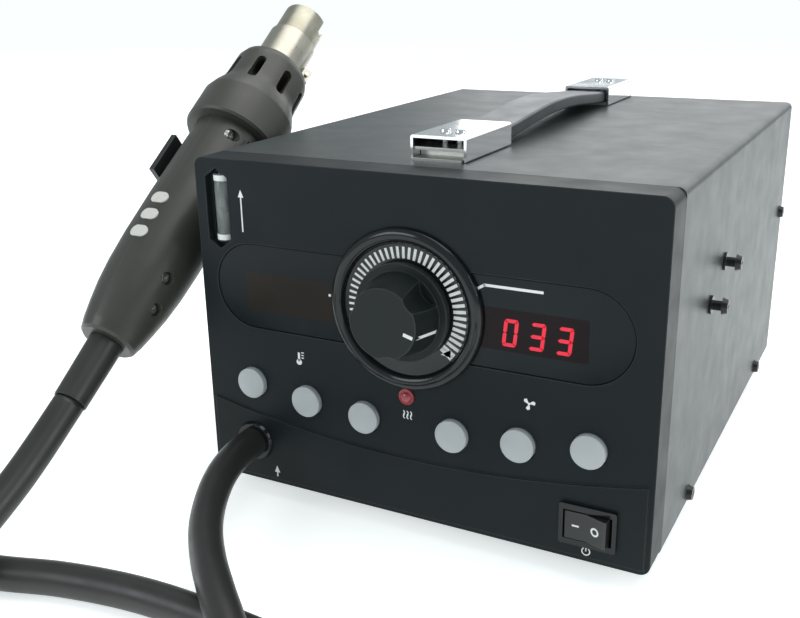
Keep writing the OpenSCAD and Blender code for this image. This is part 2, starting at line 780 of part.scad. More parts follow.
module grip_shell(side) {
    handpiece() difference() {
        intersection() {
            grip_solid(0);
            translate([side * 50 + side * 0.02, 0, 0]) cube([100, 100, 400], center = true);
        }
        difference() {
            grip_solid(grip_wall);
            translate([0, 0, -1]) cylinder(r = 30, h = 1 + grip_wall);
            translate([0, 0, 101]) cylinder(r = 30, h = 7);
            for (s = [grip_screw_spots[0], grip_screw_spots[1]]) {
                translate([0, s[1], s[0]]) rotate([0, 90, 0]) cylinder(r = 3.4, h = 60, center = true);
            }
        }
        translate([0, 0, -1]) cylinder(r = 6.9, h = 10);
        translate([0, 0, 100]) cylinder(r = pipe_r + 0.02, h = 10);
        inlay_slots(1.6);
        for (s = grip_screw_spots) {
            translate([0, s[1], s[0]]) rotate([0, 90, 0]) {
                translate([0, 0, -4]) cylinder(r = 1.2, h = 24);
                translate([0, 0, s[2]]) cylinder(r = 2.7, h = 20);
            }
        }
    }
}

module grip_shell_left() color("#3a3835") grip_shell(-1);
module grip_shell_right() color("#3a3835") grip_shell(1);

module grip_screws() color("#8d8f90") handpiece() {
    for (s = grip_screw_spots) {
        translate([s[2], s[1], s[0]]) rotate([0, 90, 0]) pan_screw(2.5, 1.6, 1.1, s[2] + 3.5);
    }
}

module grip_inlays() color("#eef0ee") handpiece() intersection() {
    difference() {
        grip_solid(-0.5);
        grip_solid(1);
    }
    inlay_slots(1.5);
}

// Slotted heat guard round the root of the pipe.
module nozzle_collar() color("#34322f") handpiece() difference() {
    rotate_extrude() difference() {
        polygon([[17.4, collar_s], [collar_r - 0.8, collar_s], [collar_r, collar_s + 1],
            [collar_r, collar_s + 17], [collar_r - 1.4, collar_s + 21.5], [18.6, collar_s + 26.5],
            [18, collar_s + 30], [17.7, collar_top - 5],
            [16.6, collar_top - 1.8], [14.6, collar_top], [12.4, collar_top], [12.4, collar_top - 2.2],
            [15.4, collar_top - 5], [15.7, collar_s + 28], [19.4, collar_s + 18], [19.4, grip_top + 2],
            [17.4, grip_top + 0.2]]);
    }
    for (a = [0:45:315]) {
        rotate(a + 20) translate([17, 0, (136 + 150) / 2]) rotate([0, 90, 0]) linear_extrude(12, center = true)
            rounded_rect(14, 4.4, 2.19);
    }
}

module heater_pipe() color("#cdb98c") handpiece() difference() {
    union() {
        translate([0, 0, 96]) cylinder(r = pipe_r - 0.3, h = handpiece_l - 97);
        translate([0, 0, seat_s]) cylinder(r = pipe_r, h = handpiece_l - seat_s);
        translate([0, 0, 97.6]) cylinder(r = 14.4, h = 3.3);
    }
    translate([0, 0, 90]) cylinder(r = pipe_r - 0.8, h = 120);
    rotate(25) translate([pipe_r, 0, handpiece_l]) cube([10, 8, 13], center = true);
}

module heater_core() color("#b98f78") handpiece() difference() {
    translate([0, 0, 102]) cylinder(r = 8.6, h = 88);
    for (a = [0:60:300]) {
        rotate(a) translate([5.2, 0, 100]) cylinder(r = 1.5, h = 100);
    }
    for (a = [0:30:330]) {
        rotate(a) translate([9.4, 0, 100]) cylinder(r = 1.4, h = 100);
    }
    translate([0, 0, 100]) cylinder(r = 1.5, h = 100);
}

module nozzle_clamp() color("#c6c2b2") handpiece() rotate(45) difference() {
    union() {
        translate([0, 0, clamp_s]) cylinder(r = pipe_r + 1, h = clamp_l);
        translate([pipe_r + 2.4, 0, clamp_s + 4.6]) cube([5, 5.6, 7], center = true);
    }
    translate([0, 0, clamp_s - 1]) cylinder(r = pipe_r + 0.05, h = clamp_l + 2);
    translate([pipe_r + 3, 0, clamp_s + clamp_l / 2]) cube([12, 1.6, clamp_l + 2], center = true);
    translate([pipe_r + 2.9, 0, clamp_s + 4.6]) rotate([90, 0, 0]) cylinder(r = 1, h = 12, center = true);
}

module clamp_screw() color("#9c9d9e") handpiece() rotate(45)
    translate([pipe_r + 2.9, 2.85, clamp_s + 4.6]) rotate([-90, 0, 0]) pan_screw(1.9, 1.4, 0.92, 7);

module hose_sleeve() color("#161718") handpiece() difference() {
    union() {
        translate([0, 0, -sleeve_out]) cylinder(r1 = hose_d / 2 + 0.5, r2 = 7.2, h = sleeve_out - 0.2);
        translate([0, 0, -0.3]) cylinder(r = 6.8, h = 5);
        translate([0, 0, grip_wall + 0.2]) cylinder(r = 9, h = 3);
    }
    translate([0, 0, -sleeve_out - 1]) cylinder(r = 3.2, h = 60);
}

// ---- Air hose, one tube swept along its route ----

function in_handpiece(s) = tail_pos + s * [0, cos(tilt), sin(tilt)];
function hose_points() = concat(hose_route, [in_handpiece(-sleeve_out - hose_gap)]);
function hose_at(i) = hose_points()[min(max(i, 0), len(hose_points()) - 1)];
function blend_points(a, b, c, d, t) = 0.5 * ((2 * b) + (c - a) * t + (2 * a - 5 * b + 4 * c - d) * t * t
    + (3 * b - a - 3 * c + d) * t * t * t);
function above_bench(p) = [p[0], p[1], max(p[2], hose_d / 2 - foot_h)];
function hose_line() = concat(
    [for (i = [0:len(hose_points()) - 2]) for (k = [0:hose_steps - 1])
        above_bench(blend_points(hose_at(i - 1), hose_at(i), hose_at(i + 1), hose_at(i + 2), k / hose_steps))],
    [in_handpiece(-sleeve_out - hose_gap)]
);
function unit(v) = v / norm(v);
function along(line, i) = i == 0 ? [0, -1, 0] : i == len(line) - 1 ? [0, cos(tilt), sin(tilt)]
    : unit(line[i + 1] - line[i - 1]);
function hose_ring(line, i) = let (t = along(line, i), a = unit(cross(t, [0.05, 0.1, 1])), b = cross(a, t))
    [for (k = [0:hose_sides - 1]) let (w = 360 * k / hose_sides)
        line[i] + hose_d / 2 * (cos(w) * a + sin(w) * b)];

module air_hose() color("#161718") cabinet() {
    line = hose_line();
    rings = len(line);
    polyhedron(
        points = [for (i = [0:rings - 1]) each hose_ring(line, i)],
        faces = concat(
            [[for (k = [hose_sides - 1:-1:0]) k]],
            [for (i = [0:rings - 2]) for (k = [0:hose_sides - 1]) let (n = (k + 1) % hose_sides)
                [i * hose_sides + k, i * hose_sides + n, (i + 1) * hose_sides + n, (i + 1) * hose_sides + k]],
            [[for (k = [0:hose_sides - 1]) (rings - 1) * hose_sides + k]]
        ));
}

front_panel();
display_lens();
temperature_display();
air_display();
dial_plate();
potentiometer();
pot_shaft();
knob();
temp_button_1();
temp_button_2();
temp_button_3();
air_button_1();
air_button_2();
air_button_3();
button_switches();
heater_lamp();
power_switch_body();
power_rocker();
gauge_body();
gauge_tube();
gauge_float();
hose_gland();
display_board();
main_board();
transformer_core();
transformer_winding();
pump_body();
pump_armature();
pump_mounts();
air_tube();
chassis();
top_cover();
rear_panel();
cover_screws();
rear_screws();
foot_front_left();
foot_front_right();
foot_rear_left();
foot_rear_right();
foot_screws();
mains_inlet();
fuse_drawer();
rest_screws_and_spares();
handpiece_rest();
handle_cap_front();
handle_cap_rear();
handle_brackets();
handle_screws();
carry_strap();
grip_shell_left();
grip_shell_right();
grip_screws();
grip_inlays();
nozzle_collar();
heater_pipe();
heater_core();
nozzle_clamp();
clamp_screw();
hose_sleeve();
air_hose();
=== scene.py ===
"""Looks of the hot air rework station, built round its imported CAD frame.

Lengths named below are in millimetres."""

import json
import math

import bmesh
import bpy
from mathutils import Matrix, Vector


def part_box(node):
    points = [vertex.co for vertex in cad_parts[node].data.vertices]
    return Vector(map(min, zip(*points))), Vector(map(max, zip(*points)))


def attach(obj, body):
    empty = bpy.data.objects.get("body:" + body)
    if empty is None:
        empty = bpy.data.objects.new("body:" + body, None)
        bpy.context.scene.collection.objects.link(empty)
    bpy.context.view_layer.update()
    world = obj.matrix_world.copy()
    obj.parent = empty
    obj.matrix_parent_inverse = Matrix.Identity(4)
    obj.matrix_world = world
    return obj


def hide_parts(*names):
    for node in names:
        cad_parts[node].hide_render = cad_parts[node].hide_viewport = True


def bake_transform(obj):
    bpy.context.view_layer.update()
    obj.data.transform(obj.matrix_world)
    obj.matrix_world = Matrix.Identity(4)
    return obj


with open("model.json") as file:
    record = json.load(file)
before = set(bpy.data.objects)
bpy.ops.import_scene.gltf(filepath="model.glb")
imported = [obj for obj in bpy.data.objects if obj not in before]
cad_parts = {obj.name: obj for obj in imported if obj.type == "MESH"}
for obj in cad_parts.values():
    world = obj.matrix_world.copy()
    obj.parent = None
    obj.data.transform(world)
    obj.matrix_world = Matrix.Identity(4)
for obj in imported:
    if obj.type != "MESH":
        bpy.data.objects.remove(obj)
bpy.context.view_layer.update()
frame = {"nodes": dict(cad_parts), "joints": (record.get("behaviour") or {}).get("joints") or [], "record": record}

# ---- Frames of reference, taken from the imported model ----

MM = 0.001
CABINET_D = 245
STRIP_RISE = 0.8
HOSE_D = 12.4
ROCKER_TILT = 10
WINDOW_W, WINDOW_H = 39.5, 15.5
POINTER_ANGLE = -16
KNOB_FOOT_R, KNOB_CREST_R = 15.62, 13.3

front_low, front_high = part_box("front_panel")
centre_x = (front_low.x + front_high.x) / 2
panel_y = front_low.y + STRIP_RISE * MM
centre_y = panel_y + CABINET_D / 2 * MM
bottom_z = front_low.z
joints = {joint["name"]: joint for joint in frame["joints"]}
SLEEVE_OUT = 28
AXIS = Vector(joints["clamp_slide"]["axis"]).normalized()
TAIL = Vector(joints["handset_lift"]["pos_m"]) + AXIS * SLEEVE_OUT * MM
TILT = math.asin(AXIS.z)
SIDEWAYS = Vector((1, 0, 0))
TOPWARD = Vector((0, -math.sin(TILT), math.cos(TILT)))


def cabinet(x, y, z):
    """A point given from the bottom centre of the cabinet, in metres in the row frame."""
    return Vector((centre_x + x * MM, centre_y + y * MM, bottom_z + z * MM))


def on_front(x, z, out=0.0):
    """A point on the front panel, out millimetres in front of its face."""
    return Vector((centre_x + x * MM, panel_y - out * MM, bottom_z + z * MM))


def on_handpiece(side, top, s):
    """A point s along the handpiece from its tail, side to the right and top above its axis."""
    return TAIL + (AXIS * s + SIDEWAYS * side + TOPWARD * top) * MM


def middle(node):
    low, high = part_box(node)
    return (low + high) / 2


# ---- Materials ----


def add(tree, kind, **values):
    node = tree.nodes.new(kind)
    for key, value in values.items():
        setattr(node, key, value)
    return node


def set_inputs(node, **values):
    for key, value in values.items():
        node.inputs[key.replace("_", " ")].default_value = value


def scaled(color, factor):
    return tuple(min(1.0, c * factor) for c in color[:3]) + (1.0,)


def noise(tree, vector, scale, detail=3.0, rough=0.55):
    node = add(tree, "ShaderNodeTexNoise")
    set_inputs(node, Scale=scale, Detail=detail, Roughness=rough)
    tree.links.new(vector, node.inputs["Vector"])
    return node.outputs["Fac"]


def mapped(tree, value, low, high, to_low, to_high):
    node = add(tree, "ShaderNodeMapRange")
    tree.links.new(value, node.inputs["Value"])
    set_inputs(node, From_Min=low, From_Max=high, To_Min=to_low, To_Max=to_high)
    return node.outputs["Result"]


def times(tree, a, b):
    node = add(tree, "ShaderNodeMath", operation="MULTIPLY")
    tree.links.new(a, node.inputs[0])
    tree.links.new(b, node.inputs[1])
    return node.outputs["Value"]


def edge_mask(tree, radius, strength, patches):
    """Where an edge is rubbed: the bevelled normal leaves the true one there."""
    bevel = add(tree, "ShaderNodeBevel", samples=4)
    set_inputs(bevel, Radius=radius * MM)
    geometry = add(tree, "ShaderNodeNewGeometry")
    dot = add(tree, "ShaderNodeVectorMath", operation="DOT_PRODUCT")
    tree.links.new(bevel.outputs["Normal"], dot.inputs[0])
    tree.links.new(geometry.outputs["Normal"], dot.inputs[1])
    bent = mapped(tree, dot.outputs["Value"], 0.995, 0.86, 0.0, strength)
    return times(tree, bent, mapped(tree, patches, 0.35, 0.6, 0.25, 1.0))


def surface(name, color, roughness, metallic=0.0, vary=0.1, patch=22.0, grain=1800.0, bump=0.1,
            depth=0.05, spread=0.05, coat=0.0, specular=0.5, stretch=(1, 1, 1), lean=0.0, wear=0.0,
            second=None):
    """A material with slow colour and gloss changes, a fine relief and, with wear, rubbed edges."""
    material = bpy.data.materials.new(name)
    material.use_nodes = True
    tree = material.node_tree
    principled = tree.nodes["Principled BSDF"]
    set_inputs(principled, Metallic=metallic, Coat_Weight=coat, Coat_Roughness=0.12)
    principled.inputs["Specular IOR Level"].default_value = specular
    place = add(tree, "ShaderNodeTexCoord").outputs["Object"]
    mapping = add(tree, "ShaderNodeMapping")
    set_inputs(mapping, Rotation=(lean, 0, 0), Scale=stretch)
    tree.links.new(place, mapping.inputs["Vector"])
    patches = noise(tree, place, patch, 4.0)
    ramp = add(tree, "ShaderNodeValToRGB")
    ramp.color_ramp.elements[0].position = 0.3
    ramp.color_ramp.elements[1].position = 0.7
    ramp.color_ramp.elements[0].color = scaled(color, 1 - vary)
    ramp.color_ramp.elements[1].color = scaled(second or color, 1 + vary)
    tree.links.new(patches, ramp.inputs["Fac"])
    shade = ramp.outputs["Color"]
    if wear:
        mix = add(tree, "ShaderNodeMix", data_type="RGBA")
        tree.links.new(edge_mask(tree, 0.7, wear, patches), mix.inputs[0])
        tree.links.new(shade, mix.inputs[6])
        mix.inputs[7].default_value = scaled([0.35 * c + 0.16 for c in color[:3]], 1.0)
        shade = mix.outputs[2]
    tree.links.new(shade, principled.inputs["Base Color"])
    fine = noise(tree, mapping.outputs["Vector"], grain)
    smudges = noise(tree, place, patch * 3.1, 5.0)
    tree.links.new(mapped(tree, smudges, 0.3, 0.7, roughness - spread, roughness + spread),
                   principled.inputs["Roughness"])
    relief = add(tree, "ShaderNodeBump")
    set_inputs(relief, Strength=bump, Distance=depth * MM)
    tree.links.new(fine, relief.inputs["Height"])
    tree.links.new(relief.outputs["Normal"], principled.inputs["Normal"])
    return material


def glowing(name, color, strength):
    material = surface(name, color, 0.4)
    principled = material.node_tree.nodes["Principled BSDF"]
    principled.inputs["Emission Color"].default_value = scaled(color, 1.0)
    principled.inputs["Emission Strength"].default_value = strength
    return material


def see_through(name, color, roughness):
    material = surface(name, color, roughness, vary=0.03, bump=0.02)
    principled = material.node_tree.nodes["Principled BSDF"]
    set_inputs(principled, Transmission_Weight=0.85, IOR=1.3)
    return material


TURNED = (1, 1, 40)
MATERIALS = {
    "front_plastic": surface("satin_front_plastic", (0.008, 0.0125, 0.0145), 0.44, vary=0.12, grain=2600,
                             bump=0.12, specular=0.16, wear=0.3),
    "smoked_lens": surface("smoked_acrylic", (0.007, 0.011, 0.013), 0.2, vary=0.15, bump=0.015,
                            specular=0.16),
    "display_left": surface("unlit_display", (0.020, 0.012, 0.010), 0.2, bump=0.02),
    "display_right": surface("lit_display", (0.020, 0.006, 0.007), 0.2, bump=0.02),
    "gloss_black": surface("gloss_black_plastic", (0.008, 0.010, 0.012), 0.17, vary=0.1, bump=0.03,
                           coat=0.15, specular=0.3),
    "zinc_steel": surface("zinc_plated_steel", (0.60, 0.60, 0.57), 0.34, 1.0, vary=0.12, grain=1500),
    "knob_black": surface("satin_knob_plastic", (0.009, 0.013, 0.014), 0.38, grain=2400, bump=0.15,
                          specular=0.22, wear=0.35),
    "switch_black": surface("key_switch_plastic", (0.03, 0.03, 0.03), 0.5),
    "lamp_red": surface("lamp_ruby_plastic", (0.30, 0.035, 0.045), 0.2, vary=0.2, coat=0.6),
    "rocker_black": surface("rocker_plastic", (0.012, 0.013, 0.014), 0.3, grain=2400, wear=0.2),
    "gauge_black": surface("gauge_plastic", (0.009, 0.011, 0.012), 0.45, grain=2400, specular=0.3),
    "gauge_glass": see_through("gauge_glass", (0.75, 0.82, 0.80), 0.08),
    "float_black": surface("float_plastic", (0.02, 0.02, 0.02), 0.35),
    "board_green": surface("circuit_board", (0.03, 0.13, 0.06), 0.4, patch=90, vary=0.3),
    "core_steel": surface("oiled_core_steel", (0.22, 0.23, 0.24), 0.4, 1.0, stretch=(1, 40, 1)),
    "winding": surface("varnished_winding", (0.42, 0.13, 0.04), 0.35, stretch=(1, 1, 30), grain=200,
                       bump=0.4),
    "pump_alloy": surface("cast_alloy", (0.5, 0.51, 0.52), 0.5, 1.0, grain=700, bump=0.3),
    "inner_tube": surface("inner_tube_rubber", (0.5, 0.45, 0.36), 0.6),
    "cover_paint": surface("powder_coat", (0.032, 0.040, 0.043), 0.40, vary=0.1, grain=1500,
                           bump=0.22, specular=0.36,
                           spread=0.04, wear=0.4),
    "screw_black": surface("black_oxide_steel", (0.03, 0.03, 0.03), 0.32, 0.8, grain=1200, wear=0.5),
    "foot_rubber": surface("foot_rubber", (0.022, 0.022, 0.022), 0.75, grain=1200, bump=0.3),
    "rest_plastic": surface("rest_plastic", (0.018, 0.020, 0.021), 0.4, grain=2200, bump=0.15, wear=0.45),
    "cap_chrome": surface("polished_chrome", (0.78, 0.80, 0.82), 0.10, 1.0, vary=0.04, bump=0.03,
                          spread=0.03),
    "strap_black": surface("strap_vinyl", (0.022, 0.028, 0.035), 0.34, vary=0.1, grain=900, bump=0.2),
    "grip_plastic": surface("grip_plastic", (0.040, 0.041, 0.035), 0.40, vary=0.1, grain=2000, bump=0.2,
                            spread=0.05, wear=0.35),
    "inlay_white": surface("white_inlay_plastic", (0.60, 0.60, 0.57), 0.3, vary=0.03, coat=0.3),
    "pipe_steel": surface("heat_tinted_steel", (0.30, 0.28, 0.215), 0.32, 1.0, vary=0.18, patch=70,
                          stretch=TURNED, lean=math.pi / 2 - TILT, grain=160, bump=0.15,
                          second=(0.38, 0.37, 0.31)),
    "core_ceramic": surface("fired_ceramic", (0.40, 0.28, 0.20), 0.8, grain=1200, bump=0.4),
    "clamp_steel": surface("brushed_clamp_steel", (0.40, 0.385, 0.33), 0.30, 1.0, vary=0.12, patch=60,
                           stretch=TURNED, lean=math.pi / 2 - TILT, grain=180, bump=0.2),
    "button_grey": surface("button_plastic", (0.40, 0.43, 0.44), 0.4, vary=0.05, grain=2000, bump=0.12,
                           wear=0.0),
    "hose_rubber": surface("hose_rubber", (0.022, 0.022, 0.021), 0.42, vary=0.15, patch=30, grain=1500,
                           bump=0.25, spread=0.06),
}
# White print ink for the panel, dial, knob and rocker marks; the same white also paints the highlight bands on the
# gauge tube.
WHITE_PRINT_AND_HIGHLIGHT = surface("white_print_and_highlight", (0.74, 0.76, 0.75), 0.5, vary=0.06, grain=3000, bump=0.1)
DIGIT_RED = glowing("digit_red", (0.66, 0.010, 0.035), 0.30)
WINDOW_BROWN = surface("window_brown", (0.014, 0.011, 0.008), 0.2, vary=0.2, bump=0.02, specular=0.16)
WINDOW_RED = surface("window_red", (0.009, 0.005, 0.006), 0.2, vary=0.2, bump=0.02, specular=0.12)


def paint(piece, material):
    piece.data.materials.clear()
    piece.data.materials.append(material)


slot_of = {part["node"]: part["material_slot"] for part in frame["record"]["subparts"]}
body_of = {node: body for body, nodes in frame["record"]["behaviour"]["bodies"].items() for node in nodes}
for node, thing in frame["nodes"].items():
    paint(thing, MATERIALS[slot_of[node]])


# ---- Making pieces ----


def new_piece(name, mesh, body, material):
    piece = bpy.data.objects.new(name, mesh)
    bpy.context.scene.collection.objects.link(piece)
    paint(piece, material)
    if body:
        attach(piece, body)
    return piece


def clean_copy(node):
    """A copy of a CAD node's mesh with its flat faces whole again."""
    mesh = frame["nodes"][node].data.copy()
    if "custom_normal" in mesh.attributes:
        mesh.attributes.remove(mesh.attributes["custom_normal"])
    shape = bmesh.new()
    shape.from_mesh(mesh)
    bmesh.ops.remove_doubles(shape, verts=shape.verts, dist=0.004 * MM)
    bmesh.ops.dissolve_degenerate(shape, edges=shape.edges, dist=0.002 * MM)
    bmesh.ops.dissolve_limit(shape, angle_limit=math.radians(0.6), verts=shape.verts, edges=shape.edges)
    for face in shape.faces:
        face.smooth = True
    return mesh, shape


def soften(node, width, segments=2, angle=32):
    """Stands for a CAD node with its edges rounded."""
    mesh, shape = clean_copy(node)
    shape.to_mesh(mesh)
    shape.free()
    piece = new_piece(node + "_shell", mesh, body_of[node], MATERIALS[slot_of[node]])
    if width:
        bevel = piece.modifiers.new("edges", "BEVEL")
        bevel.limit_method = "ANGLE"
        bevel.angle_limit = math.radians(angle)
        bevel.width = width * MM
        bevel.segments = segments
        bevel.use_clamp_overlap = True
        bevel.miter_outer = "MITER_ARC"
    even = piece.modifiers.new("even_normals", "WEIGHTED_NORMAL")
    even.weight = 90
    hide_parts(node)
    return piece


def raised(name, outlines, spot, right, up, body, material, height=0.05):
    """Flat shapes in millimetres, printed on the plane through spot that right and up span."""
    mesh = bpy.data.meshes.new(name)
    shape = bmesh.new()
    out = right.cross(up).normalized()
    for outline in outlines:
        base = [spot + (right * u + up * v) * MM for u, v in outline]
        low = [shape.verts.new(p - out * 0.02 * MM) for p in base]
        high = [shape.verts.new(p + out * height * MM) for p in base]
        shape.faces.new(high)
        shape.faces.new(low[::-1])
        for i in range(len(base)):
            j = (i + 1) % len(base)
            shape.faces.new((low[i], low[j], high[j], high[i]))
    bmesh.ops.recalc_face_normals(shape, faces=shape.faces)
    shape.to_mesh(mesh)
    shape.free()
    return new_piece(name, mesh, body, material)


RIGHT, UP = Vector((1, 0, 0)), Vector((0, 0, 1))


def turned(points, angle, x=0.0, y=0.0):
    c, s = math.cos(math.radians(angle)), math.sin(math.radians(angle))
    return [(x + u * c - v * s, y + u * s + v * c) for u, v in points]


def bar(x, y, w, h, angle=0.0):
    return turned([(-w / 2, -h / 2), (w / 2, -h / 2), (w / 2, h / 2), (-w / 2, h / 2)], angle, x, y)


def disc(x, y, r, steps=20):
    return turned([(r * math.cos(2 * math.pi * i / steps), r * math.sin(2 * math.pi * i / steps))
                   for i in range(steps)], 0, x, y)


def band(x, y, inner, outer, start, stop, steps=16):
    """A piece of a ring between two angles, as short quads."""
    cells = []
    for i in range(steps):
        a, b = (math.radians(start + (stop - start) * k / steps) for k in (i, i + 1))
        cells.append([(x + r * math.cos(t), y + r * math.sin(t))
                      for r, t in ((inner, a), (outer, a), (outer, b), (inner, b))])
    return cells


def rounded(w, h, r, steps=6):
    points = []
    for cx, cy, start in ((1, 1, 0), (-1, 1, 90), (-1, -1, 180), (1, -1, 270)):
        for i in range(steps + 1):
            t = math.radians(start + 90 * i / steps)
            points.append((cx * (w / 2 - r) + r * math.cos(t), cy * (h / 2 - r) + r * math.sin(t)))
    return points


# ---- Camera and lights ----


CAMERA_ANGLES = (28.35, 18.59, -1.04)
CAMERA_PLACE = (162.216, -429.234, 202.238)
CAMERA_LENS = 45.36


def make_camera():
    azimuth, elevation, roll = (math.radians(a) for a in CAMERA_ANGLES)
    back = Vector((math.sin(azimuth) * math.cos(elevation), -math.cos(azimuth) * math.cos(elevation),
                   math.sin(elevation)))
    level = Vector((0, 0, 1)).cross(back).normalized()
    above = back.cross(level)
    right = level * math.cos(roll) + above * math.sin(roll)
    up = above * math.cos(roll) - level * math.sin(roll)
    data = bpy.data.cameras.new("camera")
    data.sensor_width = 36
    data.lens = CAMERA_LENS
    data.clip_start, data.clip_end = 0.01, 100
    camera = bpy.data.objects.new("camera", data)
    bpy.context.scene.collection.objects.link(camera)
    turn = Matrix((right, up, back)).transposed()
    camera.matrix_world = Matrix.Translation(cabinet(*CAMERA_PLACE)) @ turn.to_4x4()
    bpy.context.scene.camera = camera


def area_light(name, spot, aim, size, power, color=(1, 1, 1)):
    data = bpy.data.lights.new(name, "AREA")
    data.shape = "RECTANGLE"
    data.size, data.size_y = size
    data.energy = power
    data.color = color
    light = bpy.data.objects.new(name, data)
    bpy.context.scene.collection.objects.link(light)
    light.location = spot
    light.rotation_mode = "QUATERNION"
    light.rotation_quaternion = (Vector(aim) - Vector(spot)).to_track_quat("-Z", "Y")


def make_stage():
    world = bpy.data.worlds.new("studio")
    bpy.context.scene.world = world
    world.use_nodes = True
    background = world.node_tree.nodes["Background"]
    background.inputs["Color"].default_value = (0.80, 0.87, 0.90, 1)
    background.inputs["Strength"].default_value = 0.55
    area_light("top_softbox", (0.15, 0.25, 1.1), (0, 0, 0.1), (1.3, 0.9), 9, (1.0, 0.99, 0.96))
    area_light("front_fill", (-0.9, -1.3, 0.9), (0, 0, 0.08), (0.9, 0.7), 8, (0.93, 0.97, 1.0))
    area_light("right_fill", (1.4, 0.1, 0.6), (0, 0, 0.08), (0.6, 0.6), 5)
    area_light("rear_glow", (0.15, 1.6, 0.8), (0.05, 0.05, 0.14), (2.0, 0.9), 9)
    mesh = bpy.data.meshes.new("floor")
    shape = bmesh.new()
    bmesh.ops.create_grid(shape, x_segments=2, y_segments=2, size=30)
    shape.to_mesh(mesh)
    shape.free()
    floor = bpy.data.objects.new("floor", mesh)
    bpy.context.scene.collection.objects.link(floor)
    pale = surface("pale_floor", (0.86, 0.88, 0.87), 0.7, vary=0.01, patch=2, bump=0.02)
    principled = pale.node_tree.nodes["Principled BSDF"]
    principled.inputs["Specular IOR Level"].default_value = 0.2
    principled.inputs["Emission Color"].default_value = (0.93, 0.97, 0.97, 1)
    principled.inputs["Emission Strength"].default_value = 0.62
    paint(floor, pale)
    bpy.context.scene.view_settings.view_transform = "Standard"


# ---- Hose ----

HOSE_ROUTE = [
    (-72, -125, 18), (-71, -139, 17.6), (-67.6, -153.4, 16), (-61.4, -167.8, 13.6), (-52.4, -182, 12.2),
    (-39.6, -196.8, 12), (-24.4, -211.6, 12.2), (-5, -229, 9.7), (15, -250, 3.6), (30, -285, -0.8),
    (52, -325, -0.8), (79.5, -341, -0.8), (111, -340.5, -0.8), (137.5, -323.5, -0.8),
    (151.5, -295, -0.8), (150, -263.5, -0.8), (134, -236.5, -0.8), (108, -218.5, -0.8),
    (77.5, -212.5, -0.8), (46, -213, -0.8), (14, -212.5, -0.8), (-25, -209.5, -0.8), (-60, -209.5, -0.8),
    (-91, -214.5, -0.8), (-120, -223, -0.8), (-149.5, -225.5, -0.8), (-178.5, -229, -0.8),
    (-204.5, -243, -0.8), (-221.5, -267, -0.8), (-225, -296, -0.8), (-214, -323.5, -0.8),
    (-190, -340.5, -0.8), (-160.5, -341.5, -0.8), (-135.5, -326.5, -0.8), (-122, -300.5, -0.6),
    (-121, -272, 1.5), (-121, -238, 10.6), (-121, -205, 26),
]
HOSE_GAP = 0.3
HOSE_STEPS = 10
HOSE_SIDES = 28


def smooth_line(points, steps):
    """The curve through the points, as in the CAD source, kept on or above the bench."""
    line = []
    count = len(points)
    for i in range(count - 1):
        a, b, c, d = (points[min(max(i + k, 0), count - 1)] for k in (-1, 0, 1, 2))
        for k in range(steps):
            t = k / steps
            p = 0.5 * (2 * b + (c - a) * t + (2 * a - 5 * b + 4 * c - d) * t * t
                       + (3 * b - a - 3 * c + d) * t ** 3)
            p.z = max(p.z, HOSE_D / 2 * MM)
            line.append(p)
    line.append(points[-1].copy())
    return line


def sweep(name, line, radius, sides, first, last):
    """A closed round tube along a line, its ends square to the first and last directions."""
    mesh = bpy.data.meshes.new(name)
    shape = bmesh.new()
    rings = []
    side = Vector((1, 0, 0))
    for i, p in enumerate(line):
        t = first if i == 0 else last if i == len(line) - 1 else (line[i + 1] - line[i - 1]).normalized()
        side = (side - t * side.dot(t)).normalized()
        other = t.cross(side)
        rings.append([shape.verts.new(p + (side * math.cos(w) + other * math.sin(w)) * radius)
                      for w in (2 * math.pi * k / sides for k in range(sides))])
    for a, b in zip(rings, rings[1:]):
        for k in range(sides):
            n = (k + 1) % sides
            shape.faces.new((a[k], a[n], b[n], b[k])).smooth = True
    shape.faces.new(rings[0][::-1])
    shape.faces.new(rings[-1])
    shape.to_mesh(mesh)
    shape.free()
    return mesh


def make_hose():
    points = [cabinet(*p) for p in HOSE_ROUTE] + [on_handpiece(0, 0, -SLEEVE_OUT - HOSE_GAP)]
    line = smooth_line(points, HOSE_STEPS)
    mesh = sweep("hose", line, HOSE_D / 2 * MM, HOSE_SIDES, Vector((0, -1, 0)), AXIS)
    hose = new_piece("hose", mesh, None, MATERIALS["hose_rubber"])
    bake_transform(hose)
    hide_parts("air_hose")


# ---- Casing and controls ----

def make_casing():
    soften("front_panel", 0.25, 2)
    soften("top_cover", 0.35, 3)
    soften("rear_panel", 0.2)
    soften("dial_plate", 0.15)
    soften("knob", 0.8, 4)
    soften("display_lens", 0.2)
    soften("hose_gland", 0.35, 3)
    soften("power_switch_body", 0.3, 3)
    soften("power_rocker", 0.35, 3)
    soften("heater_lamp", 0.12)
    soften("gauge_body", 0.15)
    soften("gauge_tube", 0.0)
    soften("gauge_float", 0.1)
    soften("mains_inlet", 0.3)
    soften("fuse_drawer", 0.25)
    for column in ("temp", "air"):
        for i in (1, 2, 3):
            soften(f"{column}_button_{i}", 0.35, 3)
    for end in ("front_left", "front_right", "rear_left", "rear_right"):
        soften("foot_" + end, 0.7, 3)
    soften("cover_screws", 0.15)
    soften("rear_screws", 0.15)
    soften("rest_screws_and_spares", 0.25)
    soften("chassis", 0.15)


def make_handle():
    soften("handle_cap_front", 0.3, 3)
    soften("handle_cap_rear", 0.3, 3)
    soften("handle_brackets", 0.2)
    soften("handle_screws", 0.12)
    soften("carry_strap", 1.1, 4, angle=40)


def make_handpiece():
    for side in ("left", "right"):
        soften("grip_shell_" + side, 0.22)
    soften("grip_screws", 0.12)
    soften("grip_inlays", 0.2)
    soften("nozzle_collar", 0.5, 3)
    soften("heater_pipe", 0.15)
    soften("heater_core", 0.1)
    soften("nozzle_clamp", 0.25)
    soften("clamp_screw", 0.1)
    soften("hose_sleeve", 0.25)
    soften("handpiece_rest", 1.1, 4)


# ---- Prints and displays ----

